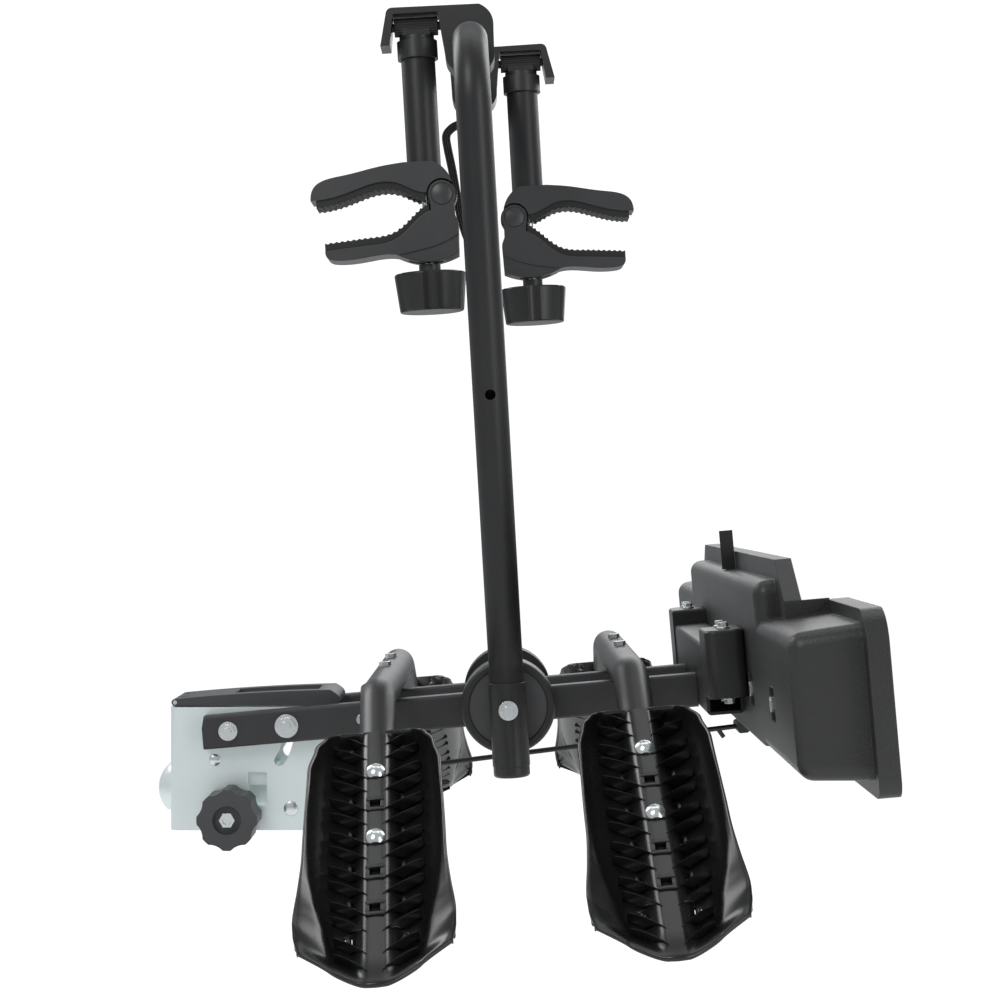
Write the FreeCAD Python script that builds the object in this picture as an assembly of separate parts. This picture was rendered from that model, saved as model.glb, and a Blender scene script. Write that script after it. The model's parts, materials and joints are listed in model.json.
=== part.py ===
import FreeCAD, Part
import math
import os

V = FreeCAD.Vector
os.makedirs("parts", exist_ok=True)

# Two-bike carrier that clamps on a tow ball. Millimetres, origin at the centre of the ball,
# +X to the rear of the car, +Y across the car, +Z up.

# ---- driving sizes -------------------------------------------------------------------------
BALL_R = 25.0                  # tow ball
CUP_WALL = 6.2                 # pressed cup round the ball
RUN = 0.05                     # radial clearance of a running fit
GAP = 0.4                      # side clearance between moving pieces

HOUSING_W, HOUSING_WALL = 88.0, 4.0      # coupler housing: width over the side plates, plate
HOUSING_X0, HOUSING_X1 = -14.0, 140.0    # its front wall and its rear edge
HOUSING_Z0, HOUSING_Z1 = -36.0, 82.4     # its lower edge and its top
WINDOW = (61.6, 79.3, -12.3, 19.8)       # inspection window in the side plates, X and Z
TILT_X, TILT_Z = 44.8, 61.8              # tilt pivot
TILT_MAX = 38.0                          # degrees the platform tips to the rear
TRAVEL = 56.0                            # tilt pivot to the bolt that runs in the arc slot

KNOB_X, KNOB_Z, KNOB_R = 46.7, -19.8, 28.7
KNOB_Y0, KNOB_Y1 = 50.0, 90.0            # depth of the lock knob, on the near side
LEVER_Z, LEVER_TOP, LEVER_X1, LEVER_W = 83.2, 99.0, 149.0, 76.0

PITCH = 5.0                              # the platform rises to the rear by this angle
BEAM_H, BEAM_T, BEAM_WALL = 32.0, 20.0, 2.0
BEAM_U0, BEAM_U1 = -25.0, 450.0          # beam ends, along the beam from the tilt pivot
TUBE_R, TUBE_WALL = 16.0, 2.5            # arms and hoop

ARM_U = (154.3, 380.2)                   # where the two arms cross the beams
ARM_BEND_Y, ARM_BEND_R = 200.0, 55.0     # corner of an arm, radius of its bend
ARM_DROP, ARM_LEG = 32.5, 336.0          # slope of its outer legs, degrees, and their length
TRAY_T0, TRAY_PAST = 74.0, 24.0          # wheel tray: start, down the leg from the corner, and
TRAY_T1 = ARM_LEG + TRAY_PAST            # end, past the end of the tube
TRAY_W, TRAY_TIP_W, TRAY_H, TRAY_WALL = 104.0, 124.0, 32.0, 3.2
TRAY_PITCH, TRAY_FIRST = 40.8, 128.0     # holes along the tray
TRAY_RIBS = 10

HUB_U, HUB_W = 268.6, 3.5                # fold axis of the hoop, along and above the beam line
DRUM_R, DRUM_FACE_R, DRUM_Y1 = 44.3, 36.9, 102.5
AXLE_R = 5.0
LEG_GAP, SADDLE_WALL = 1.1, 1.4          # clearance between leg and drum; wall of the leg's saddle
LEG_Y = DRUM_Y1 + LEG_GAP + SADDLE_WALL + TUBE_R
LEG_BELOW, SPLAY = 63.0, 10.5
SPLAY_FROM = 40.0                        # the legs splay out from this height above the hub
HOOP_H, LEAN, HOOP_BEND_R = 613.3, 3.27, 58.0

BAR_Y, BAR_U1, BAR_W1 = 207.0, 484.0, 50.0   # rear crossbar: half length, rear face, top
BLOCK_Y, BLOCK_TOP, BLOCK_LOW = 150.0, 65.0, 4.0   # moulded end blocks: start, top and underside
BOARD_U, BOARD_WALL, BOARD_ROUND = 484.0, 3.5, 12.0
LAMP_Y0, LAMP_Y1, LAMP_W0, LAMP_W1, LAMP_U1 = 300.0, 500.0, -34.0, 77.6, 543.0
LAMP_DRAFT = 4.5                             # the lamp housings widen this much to the rear
RIM_U1, RIM_Y1, RIM_W0, RIM_W1 = 556.5, 520.0, -50.0, 92.5
PLATE_W0, PLATE_W1, PLATE_U1 = -30.0, 110.0, 518.0
LIP_W1, LIP_U0 = 127.0, 503.5                # lip round the number plate's place
BOARD_BOLT_Y = (223.0, 367.0)

STRAP_Y, STRAP_W, STRAP_T = 141.0, 6.0, 9.0  # rubber loop over the top bar

CLAMP_Y = {"near": -95.0, "far": 100.0}  # clamp positions along the hoop's top bar
POST_X, POST_END = -50.0, -112.0         # post beside the bar, and its lower end
BARREL_Z, BARREL_R = 29.2, 8.8           # swing axis above the bar
PIVOT = (-34.6, -131.1)                  # jaw pivot
JAW_W, PAD_W = 38.0, 34.0
PAD_T = 7.5
KNOB_TOP, KNOB_BOTTOM, GRIP_R0, GRIP_R1 = -203.0, -239.5, 34.0, 30.0
ROD_R = 4.0

HALF_W = HOUSING_W / 2
BEAM_Y0 = HALF_W + 0.3                   # inner face of a beam
BEAM_Y1 = BEAM_Y0 + BEAM_T
ARM_W = BEAM_H / 2 + TUBE_R              # arms lie on top of the beams


# ---- helpers -------------------------------------------------------------------------------
def box(x0, x1, y0, y1, z0, z1):
    return Part.makeBox(x1 - x0, y1 - y0, z1 - z0, V(x0, y0, z0))


def cyl(x, y, z, r, h, d):
    return Part.makeCylinder(r, h, V(x, y, z), V(*d))


def rod_y(x, z, r, y0, y1):
    return cyl(x, y0, z, r, y1 - y0, (0, 1, 0))


def both(shape):
    """The shape and its mirror image across the middle plane."""
    return [shape, flip_y(shape)]


def flip_y(shape):
    return shape.mirror(V(0, 0, 0), V(0, 1, 0))


def prism(points, y0, y1):
    """Polygon in X and Z, extruded across from y0 to y1."""
    corners = [V(x, y0, z) for x, z in points]
    face = Part.Face(Part.makePolygon(corners + corners[:1]))
    return face.extrude(V(0, y1 - y0, 0))


def outline(edges, y0, y1):
    """Closed outline in X and Z of straight runs and smooth curves, extruded across.
    A run of two points is a line, a longer one a curve through its points."""
    made = []
    for run in edges:
        pts = [V(x, y0, z) for x, z in run]
        if len(pts) == 2:
            made.append(Part.makeLine(*pts))
        else:
            curve = Part.BSplineCurve()
            curve.interpolate(pts)
            made.append(curve.toShape())
    return Part.Face(Part.Wire(made)).extrude(V(0, y1 - y0, 0))


def route(points, radius):
    """Straight runs through the points, joined by arcs of one radius."""
    edges, last = [], points[0]
    for a, b, c in zip(points, points[1:], points[2:]):
        into, out = (a - b).normalize(), (c - b).normalize()
        half = into.getAngle(out) / 2
        trim = radius / math.tan(half)
        start, end = b + into * trim, b + out * trim
        middle = b + (into + out).normalize() * (radius / math.sin(half) - radius)
        edges += [Part.makeLine(last, start), Part.Arc(start, middle, end).toShape()]
        last = end
    return Part.Wire(edges + [Part.makeLine(last, points[-1])])


def sweep(points, radius, r):
    ring = Part.Wire(Part.makeCircle(r, points[0], points[1] - points[0]))
    return route(points, radius).makePipeShell([ring], True, False)


def bent_tube(points, radius, r, wall):
    return sweep(points, radius, r).cut(sweep(points, radius, r - wall))


def hexagon(x, y, z, across_flats, height, d):
    r = across_flats / math.sqrt(3)
    corners = [V(r * math.cos(a), r * math.sin(a), 0)
               for a in [math.radians(60 * i) for i in range(7)]]
    solid = Part.Face(Part.makePolygon(corners)).extrude(V(0, 0, height))
    solid.Placement = FreeCAD.Placement(V(x, y, z), FreeCAD.Rotation(V(0, 0, 1), V(*d)))
    return solid


def flange_nut(x, y, z, d, across_flats, flange_r, height):
    n = V(*d)
    top = V(x, y, z) + n * 1.8
    return cyl(x, y, z, flange_r, 1.8, d).fuse(hexagon(*top, across_flats, height - 1.8, d))


def dome(x, y, z, d, r, height):
    """Round bolt head of radius r that stands height above the point."""
    ball_r = (r * r + height * height) / (2 * height)
    n = V(*d)
    ball = Part.makeSphere(ball_r, V(x, y, z) - n * (ball_r - height))
    return ball.common(cyl(x, y, z, r + 1, height + 1, d))


def soften(shape, radius, wanted):
    """Round the edges that the test picks."""
    edges = [e for e in shape.Edges if wanted(e)]
    return shape.makeFillet(radius, edges)


def along(edge, axis):
    """True for a straight edge along the given axis."""
    if not isinstance(edge.Curve, Part.Line):
        return False
    d = edge.Vertexes[-1].Point - edge.Vertexes[0].Point
    return abs(abs(d.normalize().dot(V(*axis))) - 1) < 1e-6


def platform(shape):
    """From the platform's own frame, with X along the beams, to the part's."""
    moved = shape.copy()
    turn = FreeCAD.Rotation(V(0, 1, 0), -PITCH)
    moved.Placement = FreeCAD.Placement(V(TILT_X, 0, TILT_Z), turn).multiply(moved.Placement)
    return moved


HUB = FreeCAD.Placement(V(TILT_X, 0, TILT_Z), FreeCAD.Rotation(V(0, 1, 0), -PITCH)).multVec(
    V(HUB_U, 0, HUB_W))


def hoop(shape):
    """From the hoop's frame, with its origin on the fold axis and Z up the legs."""
    moved = shape.copy()
    place = FreeCAD.Placement(HUB, FreeCAD.Rotation(V(0, 1, 0), -LEAN))
    moved.Placement = place.multiply(moved.Placement)
    return moved


def save(name, shapes, place=None):
    """Write one node. A list is a group of separate solids."""
    solids = []
    for shape in shapes if isinstance(shapes, list) else [shapes]:
        placed = place(shape) if place else shape
        solids += placed.Solids
    shape = solids[0] if len(solids) == 1 else Part.makeCompound(solids)
    if not shape.isValid():
        print("not valid:", name)
    shape.exportStep("parts/" + name + ".step")
    b = shape.BoundBox
    print("%-22s %2d  X %7.1f %7.1f  Y %7.1f %7.1f  Z %7.1f %7.1f" % (
        name, len(solids), b.XMin, b.XMax, b.YMin, b.YMax, b.ZMin, b.ZMax))


# ---- coupler -------------------------------------------------------------------------------
PIVOT_BOLT_R, TRAVEL_BOLT_R = 4.0, 5.0
LEVER_PIN = (-10.0, 86.6, 2.0)           # X, Z, radius
LUG_Y0, LUG_Y1 = 14.0, 18.0
STUD_R = 4.0


def on_travel(angle):
    """Point of the arc slot's centre line, an angle below the beam line."""
    a = math.radians(angle - PITCH)
    return TILT_X + TRAVEL * math.cos(a), TILT_Z - TRAVEL * math.sin(a)


def arc_slot():
    width = TRAVEL_BOLT_R + 0.3
    ring = rod_y(TILT_X, TILT_Z, TRAVEL + width, -HALF_W - 1, HALF_W + 1).cut(
        rod_y(TILT_X, TILT_Z, TRAVEL - width, -HALF_W - 2, HALF_W + 2))
    reach = 2 * TRAVEL
    ends = [(TILT_X, TILT_Z)]
    for angle in (0, TILT_MAX / 2, TILT_MAX):
        a = math.radians(angle - PITCH)
        ends.append((TILT_X + reach * math.cos(a), TILT_Z - reach * math.sin(a)))
    slot = ring.common(prism(ends, -HALF_W - 1, HALF_W + 1))
    for angle in (0, TILT_MAX):
        x, z = on_travel(angle)
        slot = slot.fuse(rod_y(x, z, width, -HALF_W - 1, HALF_W + 1))
    return slot


def coupler_shell():
    outer = box(HOUSING_X0, HOUSING_X1, -HALF_W, HALF_W, HOUSING_Z0, HOUSING_Z1)
    outer = soften(outer, 8, lambda e: along(e, (0, 0, 1)) and e.BoundBox.XMax < HOUSING_X0 + 1)
    outer = soften(outer, 14, lambda e: along(e, (0, 1, 0)) and e.BoundBox.XMin > HOUSING_X1 - 1
                   and e.BoundBox.ZMax < HOUSING_Z0 + 1)
    inside = HALF_W - HOUSING_WALL
    hollow = box(HOUSING_X0 + HOUSING_WALL, HOUSING_X1 + 1, -inside, inside,
                 HOUSING_Z0 - 1, HOUSING_Z1 - HOUSING_WALL)
    hollow = soften(hollow, 4, lambda e: along(e, (0, 0, 1)) and e.BoundBox.XMax < 0)
    shell = outer.cut(hollow)
    shell = shell.cut(box(42, HOUSING_X1 + 1, -30, 30, HOUSING_Z1 - 6, HOUSING_Z1 + 1))
    shell = shell.cut(box(HOUSING_X0 - 1, HOUSING_X0 + 5, -30, 30, HOUSING_Z0 - 1, HOUSING_Z0 + 7))
    shell = shell.cut(Part.makeSphere(BALL_R + 0.1 + CUP_WALL, V(0, 0, 0)))
    x, z, r = LEVER_PIN
    lug = box(x - 3, x + 3, LUG_Y0, LUG_Y1, HOUSING_Z1, z).fuse(rod_y(x, z, 3, LUG_Y0, LUG_Y1))
    for piece in both(lug):
        shell = shell.fuse(piece)
    shell = shell.cut(rod_y(x, z, r, -40, 40))
    shell = shell.cut(rod_y(TILT_X, TILT_Z, PIVOT_BOLT_R, -50, 50))
    shell = shell.cut(arc_slot())
    x0, x1, z0, z1 = WINDOW
    shell = shell.cut(box(x0, x1, -50, 50, z0, z1))
    shell = shell.cut(rod_y(KNOB_X, KNOB_Z, STUD_R, -50, 0))
    return shell.removeSplitter()


def ball_cup():
    r = BALL_R + 0.1
    cup = Part.makeSphere(r + CUP_WALL, V(0, 0, 0)).cut(Part.makeSphere(r, V(0, 0, 0)))
    return cup.common(box(-40, 8, -40, 40, -20, 40))


def ball_jaw():
    """Sliding jaw behind the ball, with a stepped carriage seen through the window."""
    nose = box(9.5, 44, -22, 22, -12, 22)
    upper = box(44, 84, -38.5, 38.5, 7, 22)
    lower = box(44, 84, -27, 27, -12, 7)
    jaw = nose.fuse(upper).fuse(lower).removeSplitter()
    return jaw.cut(Part.makeSphere(BALL_R + 0.1, V(0, 0, 0)))


def release_lever():
    x, z, r = LEVER_PIN
    nose = z - LEVER_Z
    top = [(LEVER_X1 - 9, LEVER_TOP), (0.45 * LEVER_X1, LEVER_TOP - 3), (x, z + nose)]
    side = [[(x, LEVER_Z), (LEVER_X1 - 4, LEVER_Z)],
            [(LEVER_X1 - 4, LEVER_Z), (LEVER_X1, LEVER_Z + 5), (LEVER_X1 - 9, LEVER_TOP)],
            top, [(x, z + nose), (x, LEVER_Z)]]
    half = LEVER_W / 2
    lever = outline(side, -half, half).fuse(rod_y(x, z, nose, -half, half))
    lever = lever.cut(box(46, 128, -23, 23, LEVER_Z - 1, LEVER_TOP + 1))
    lever = lever.cut(box(22, 140, -32, 32, LEVER_Z - 1, LEVER_Z + 5))
    for slot in both(box(x - 9, x + 12, LUG_Y0 - GAP, LUG_Y1 + GAP, LEVER_Z - 1, LEVER_TOP)):
        lever = lever.cut(slot)
    return lever.cut(rod_y(x, z, r + RUN, -half - 1, half + 1))


def lock_knob():
    knob = rod_y(KNOB_X, KNOB_Z, KNOB_R, -KNOB_Y1, -KNOB_Y0)
    for i in range(8):
        a = math.radians(45 * i + 22.5)
        reach = KNOB_R + 15
        x, z = KNOB_X + reach * math.cos(a), KNOB_Z + reach * math.sin(a)
        knob = knob.cut(rod_y(x, z, 17.5, -KNOB_Y1 - 1, -KNOB_Y0 + 1))
    knob = knob.cut(rod_y(KNOB_X, KNOB_Z, 13.5, -KNOB_Y1 - 1, -KNOB_Y1 + 6))
    knob = knob.fuse(rod_y(KNOB_X, KNOB_Z, 13, -KNOB_Y0, -HALF_W - GAP))
    return knob.cut(rod_y(KNOB_X, KNOB_Z, STUD_R + RUN, -KNOB_Y1 - 1, 0)).removeSplitter()


def lock_nut():
    y = -KNOB_Y1 + 6
    nut = hexagon(KNOB_X, y, KNOB_Z, 13, 5.5, (0, -1, 0))
    return nut.cut(rod_y(KNOB_X, KNOB_Z, STUD_R + RUN, -KNOB_Y1, 0))


def through_bolt(x, z, r, y_end, across_flats, flange_r, height):
    """Bolt across the whole width with a flange nut at each end."""
    bolt = rod_y(x, z, r, -y_end - height - 1.5, y_end + height + 1.5)
    for side in (-1, 1):
        bolt = bolt.fuse(flange_nut(x, side * y_end, z, (0, side, 0), across_flats, flange_r, height))
    return bolt.removeSplitter()


def make_coupler():
    save("coupler_shell", coupler_shell())
    save("ball_cup", ball_cup())
    save("shell_rivets", both(dome(29.5, HALF_W, 31.8, (0, 1, 0), 5.8, 1.4))
         + both(dome(103, HALF_W, -15, (0, 1, 0), 7.2, 1.2)))
    save("pivot_bolt", through_bolt(TILT_X, TILT_Z, PIVOT_BOLT_R, BEAM_Y1 + GAP, 13, 9.05, 8))
    x, z, r = LEVER_PIN
    save("lever_pin", rod_y(x, z, r, -LEVER_W / 2, LEVER_W / 2))
    save("release_lever", release_lever())
    save("ball_jaw", ball_jaw())
    save("knob_stud", rod_y(KNOB_X, KNOB_Z, STUD_R, -KNOB_Y1 + 2, -30))
    save("coupler_knob", lock_knob())
    save("knob_nut", lock_nut())


# ---- platform ------------------------------------------------------------------------------
BOLT_R = 4.0
ARM_BOLT_Y = (BEAM_Y0 + BEAM_Y1) / 2
HOOK_U, HOOK_R, HOOK_LOW = 128.0, 5.0, -58.5


def beam():
    half = BEAM_H / 2
    tube = box(BEAM_U0, BEAM_U1, -BEAM_Y1, -BEAM_Y0, -half, half)
    tube = soften(tube, 3, lambda e: along(e, (1, 0, 0)))
    w = BEAM_WALL
    tube = tube.cut(box(BEAM_U0 + w, BEAM_U1 - w, -BEAM_Y1 + w, -BEAM_Y0 - w, -half + w, half - w))
    tube = tube.cut(prism([(BEAM_U0 - 1, half + 1), (BEAM_U0 + 3, half + 1), (BEAM_U0 - 1, 0)],
                          -BEAM_Y1 - 1, -BEAM_Y0 + 1))
    for u, level, r in ((0, 0, PIVOT_BOLT_R + RUN), (TRAVEL, 0, TRAVEL_BOLT_R),
                        (HUB_U, HUB_W, AXLE_R), (HOOK_U, 0, HOOK_R)):
        tube = tube.cut(rod_y(u, level, r, -BEAM_Y1 - 1, -BEAM_Y0 + 1))
    for u in ARM_U:
        tube = tube.cut(cyl(u, -ARM_BOLT_Y, -half - 1, BOLT_R, BEAM_H + 2, (0, 0, 1)))
    return tube


def arm_leg_point(distance, side, lift=0.0):
    """Point on an arm's outer leg, a distance down from its corner, lifted off its axis."""
    a = math.radians(ARM_DROP)
    return (side * (ARM_BEND_Y + distance * math.cos(a) + lift * math.sin(a)),
            ARM_W - distance * math.sin(a) + lift * math.cos(a))


def arm(u):
    low = [arm_leg_point(ARM_LEG, s) for s in (-1, 1)]
    points = [V(u, *low[0]), V(u, -ARM_BEND_Y, ARM_W), V(u, ARM_BEND_Y, ARM_W), V(u, *low[1])]
    tube = bent_tube(points, ARM_BEND_R, TUBE_R, TUBE_WALL)
    for y in (-ARM_BOLT_Y, ARM_BOLT_Y):
        tube = tube.cut(cyl(u, y, 0, BOLT_R, 80, (0, 0, 1)))
    for side in (-1, 1):
        for i in (0, 2):
            distance = TRAY_FIRST + i * TRAY_PITCH
            start = arm_leg_point(distance, side, -30)
            a = math.radians(ARM_DROP)
            tube = tube.cut(cyl(u, *start, BOLT_R, 60, (0, side * math.sin(a), math.cos(a))))
    return tube


def arm_bolt(u, y):
    half = BEAM_H / 2
    top = ARM_W + TUBE_R
    bolt = cyl(u, y, -half - 7, BOLT_R, top + half + 7, (0, 0, 1))
    bolt = bolt.fuse(hexagon(u, y, -half - 6.5, 13, 6.5, (0, 0, 1)))
    return bolt.fuse(hexagon(u, y, top, 10, 4.5, (0, 0, 1))).removeSplitter()


def tray_frame(u, side):
    """Places a tray: its X runs down the arm's leg, its Y across the tray, its Z off the arm."""
    a = math.radians(ARM_DROP)
    down = V(0, side * math.cos(a), -math.sin(a))
    off = V(0, side * math.sin(a), math.cos(a))
    across = off.cross(down)
    corner = V(u, side * ARM_BEND_Y, ARM_W)
    m = FreeCAD.Matrix(down.x, across.x, off.x, corner.x, down.y, across.y, off.y, corner.y,
                       down.z, across.z, off.z, corner.z, 0, 0, 0, 1)
    return FreeCAD.Placement(m)


def tray_section(t, width, floor, height):
    w, f, wall = width / 2, floor / 2, TRAY_WALL
    pts = [(-w, height), (-f, 0), (f, 0), (w, height), (w - wall, height), (f - 1, wall),
           (1 - f, wall), (wall - w, height)]
    corners = [V(t, y, z) for y, z in pts]
    return Part.makePolygon(corners + corners[:1])


def tray():
    t0, t1 = TRAY_T0, TRAY_T1
    low = 6.0
    rows = [(t0, 0.72 * TRAY_W, 0.55 * TRAY_W, low), (t0 + 18, 0.93 * TRAY_W, 0.7 * TRAY_W, 0.75 * TRAY_H),
            (t0 + 50, TRAY_W, 0.74 * TRAY_W, TRAY_H), (t1 - 120, TRAY_W + 4, 0.74 * TRAY_W, TRAY_H),
            (t1 - 62, TRAY_TIP_W - 4, 0.7 * TRAY_W, 0.75 * TRAY_H),
            (t1 - 30, TRAY_TIP_W, 0.6 * TRAY_W, 0.4 * TRAY_H), (t1, 0.6 * TRAY_W, 0.45 * TRAY_W, low)]
    pan = Part.makeLoft([tray_section(*row) for row in rows], True, True)
    length = t1 - t0
    ridge_r = TUBE_R + 0.3 + TRAY_WALL
    upper_half = box(t0, t1, -ridge_r, ridge_r, 0, ridge_r)
    pan = pan.fuse(cyl(t0, 0, 0, ridge_r, length, (1, 0, 0)).common(upper_half))
    pitch = (length - 40) / TRAY_RIBS
    for i in range(TRAY_RIBS):
        t = t0 + 22 + i * pitch
        for side in (-1, 1):
            rib = box(0, 2.2, -1, 26, 0.5, 13)
            rib.rotate(V(0, 0, 0), V(0, 0, 1), 25)
            rib.translate(V(t + 8, 14, 0))
            pan = pan.fuse(rib if side > 0 else flip_y(rib))
            slot = box(t + 11, t + 11 + 0.3 * pitch, 20, 32, -1, TRAY_WALL + 1)
            pan = pan.cut(slot if side > 0 else flip_y(slot))
    pan = pan.cut(cyl(t0 - 1, 0, 0, TUBE_R + 0.05, ARM_LEG - t0 + 1, (1, 0, 0)))
    for i in range(5):
        t = TRAY_FIRST + i * TRAY_PITCH
        if i in (0, 2):
            pan = pan.cut(cyl(t, 0, 0, BOLT_R, 40, (0, 0, 1)))
        else:
            pan = pan.cut(box(t - 4.25, t + 4.25, -4.25, 4.25, 0, 40))
    return pan


def tray_bolt(t):
    seat = math.sqrt((TUBE_R + 0.3 + TRAY_WALL) ** 2 - 64) + 0.6
    bolt = cyl(t, 0, -TUBE_R - 8, BOLT_R, TUBE_R + 8 + seat + 3, (0, 0, 1))
    head = Part.makeSphere(10, V(t, 0, seat - 2)).common(box(t - 8, t + 8, -8, 8, seat + 2.4, 40))
    nut = hexagon(t, 0, -TUBE_R - 7, 13, 6.5, (0, 0, 1))
    return bolt.fuse(head).fuse(nut).removeSplitter()


def hub_drum():
    drum = rod_y(HUB_U, HUB_W, DRUM_R, -DRUM_Y1, -BEAM_Y1)
    drum = soften(drum, 3, lambda e: e.BoundBox.YMax < -DRUM_Y1 + 1)
    drum = drum.cut(rod_y(HUB_U, HUB_W, DRUM_FACE_R, -DRUM_Y1 - 1, -DRUM_Y1 + 3))
    return drum.cut(rod_y(HUB_U, HUB_W, AXLE_R, -DRUM_Y1, 0))


def hub_disc():
    disc = rod_y(HUB_U, HUB_W, DRUM_FACE_R - 0.2, -DRUM_Y1 + 1.4, -DRUM_Y1 + 3)
    return disc.cut(rod_y(HUB_U, HUB_W, AXLE_R, -DRUM_Y1, 0))


def rear_crossbar():
    bar = box(BEAM_U1, BAR_U1, -BLOCK_Y, BLOCK_Y, -BEAM_H / 2, BAR_W1)
    bar = soften(bar, 4, lambda e: along(e, (0, 1, 0)))
    w = 3.0
    return bar.cut(box(BEAM_U1 + w, BAR_U1 - w, -BLOCK_Y - 1, BLOCK_Y + 1, -BEAM_H / 2 + w, BAR_W1 - w))


def end_block():
    block = box(BEAM_U1 - 1.5, BAR_U1, -BAR_Y, -BLOCK_Y, BLOCK_LOW, BLOCK_TOP)
    block = soften(block, 10, lambda e: along(e, (0, 0, 1)) and e.BoundBox.YMax < -BAR_Y + 1)
    return soften(block, 3, lambda e: e.BoundBox.ZMin > BLOCK_TOP - 0.1)


def crossbar_bolts():
    bolts = []
    u = (BEAM_U1 + BAR_U1) / 2
    for y in (-BLOCK_Y - 14, -BAR_Y + 16):
        top = flange_nut(u, y, BLOCK_TOP, (0, 0, 1), 8, 6, 6)
        bottom = flange_nut(u, y, BLOCK_LOW, (0, 0, -1), 8, 6, 6)
        bolts += both(top) + both(bottom)
    return bolts


def upright(points, u0, u1):
    """Polygon in Y and W, extruded along the beams from u0 to u1."""
    corners = [V(u0, y, w) for y, w in points]
    return Part.Face(Part.makePolygon(corners + corners[:1])).extrude(V(u1 - u0, 0, 0))


def board_centre(grow=0.0):
    """Middle of the board's body, drawn in all round by grow, with round corners."""
    y, r = LAMP_Y0 + 2 - grow, BOARD_ROUND - grow
    low, top = PLATE_W0 + grow, PLATE_W1 - grow
    shape = box(BOARD_U + grow, PLATE_U1 - 2 + grow, -y, y, low, top)
    return soften(shape, r, lambda e: (along(e, (1, 0, 0)) and e.BoundBox.ZMin > top - 1)
                  or (e.BoundBox.XMax < BOARD_U + grow + 1 and e.BoundBox.ZMax > low + 1))


def lamp_housing(grow=0.0):
    """Body of one lamp, drawn in by grow. It widens to the rear and has round corners."""
    wires = []
    for u, more in ((BOARD_U + grow, 0), (LAMP_U1 + grow / 2, LAMP_DRAFT)):
        y0, y1 = LAMP_Y0 - 10 + grow, LAMP_Y1 + more - grow
        w0, w1 = LAMP_W0 - more + grow, LAMP_W1 + more - grow
        corners = [V(u, y0, w0), V(u, y1, w0), V(u, y1, w1), V(u, y0, w1)]
        wires.append(Part.makePolygon(corners + corners[:1]))
    shape = Part.makeLoft(wires, True, True)
    return soften(shape, BOARD_ROUND + 1 - grow, lambda e: e.BoundBox.YMax > LAMP_Y0 + 20
                  and e.BoundBox.XMin < LAMP_U1 - 1)


def lamp_rim(u0, u1, grow=0.0):
    """Lip round one lamp, or with grow the room inside it."""
    y0, y1, w0, w1 = LAMP_Y0 + grow, RIM_Y1 - grow, RIM_W0 + grow, RIM_W1 - grow
    shape = upright([(y0, w0), (y1, w0), (y1, w1), (LAMP_Y0 + 43, w1), (y0, w1 - 12)], u0, u1)
    shape = soften(shape, 26 - grow, lambda e: along(e, (1, 0, 0)) and e.BoundBox.YMin > y1 - 1
                   and e.BoundBox.ZMin > 0)
    return soften(shape, 14 - grow, lambda e: along(e, (1, 0, 0)) and e.BoundBox.YMin > y1 - 1
                  and e.BoundBox.ZMax < w0 + 1)


def bolt_pocket(y, grow=0.0):
    """Recess in the board's front wall for a bolt."""
    half = 14 + grow
    return box(BOARD_U - 1 + grow, BOARD_U + 7 + grow, y - half, y + half, 12.5 - half, 12.5 + half)


def lamp_board():
    """One moulding: the middle, two lamp housings, and a lip round the whole rear edge."""
    wing = [(LAMP_Y0 - 8, LIP_W1), (LAMP_Y0 + 2, LIP_W1), (LAMP_Y0 + 45, RIM_W1 + 1),
            (LAMP_Y0 + 45, 60), (LAMP_Y0 - 8, 60)]
    lip = box(LIP_U0, PLATE_U1, -LAMP_Y0 + 8, LAMP_Y0 - 8, PLATE_W1 - 5, LIP_W1)
    board = board_centre().fuse(lip)
    web = box(PLATE_U1 - 2, LAMP_U1 - 2, LAMP_Y0 + 41.5, LAMP_Y0 + 45, 60, RIM_W1 + 1)
    for piece in (lamp_housing(), lamp_rim(LAMP_U1 - 3.5, RIM_U1), upright(wing, LIP_U0, PLATE_U1), web):
        board = board.fuse(both(piece))
    board = board.cut(board_centre(BOARD_WALL))
    plate_room = box(LIP_U0 + BOARD_WALL, RIM_U1, -LAMP_Y0 + 10, LAMP_Y0 - 10, PLATE_W0 + 12,
                     LIP_W1 - BOARD_WALL)
    board = board.cut(plate_room)
    for piece in (lamp_housing(BOARD_WALL), lamp_rim(LAMP_U1, RIM_U1 + 1, BOARD_WALL)):
        board = board.cut(both(piece))
    for y in BOARD_BOLT_Y:
        pocket, room = bolt_pocket(y, BOARD_WALL), bolt_pocket(y)
        pocket = pocket.common(box(BOARD_U + 0.5, BOARD_U + 12, y - 30, y + 30, -20, 60))
        board = board.fuse(both(pocket)).cut(both(room))
    return board


def lamp_unit():
    lens = box(BOARD_U + 20, RIM_U1 - 3, LAMP_Y0 + 5, LAMP_Y1 - 6, LAMP_W0 + 9, LAMP_W1 - 6)
    return soften(lens, 4, lambda e: e.BoundBox.XMin > RIM_U1 - 4)


def board_bolts():
    bolts = []
    for y in BOARD_BOLT_Y:
        bolts += both(flange_nut(BOARD_U + 7, y, 12.5, (-1, 0, 0), 11, 8.5, 9))
    return bolts


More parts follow.
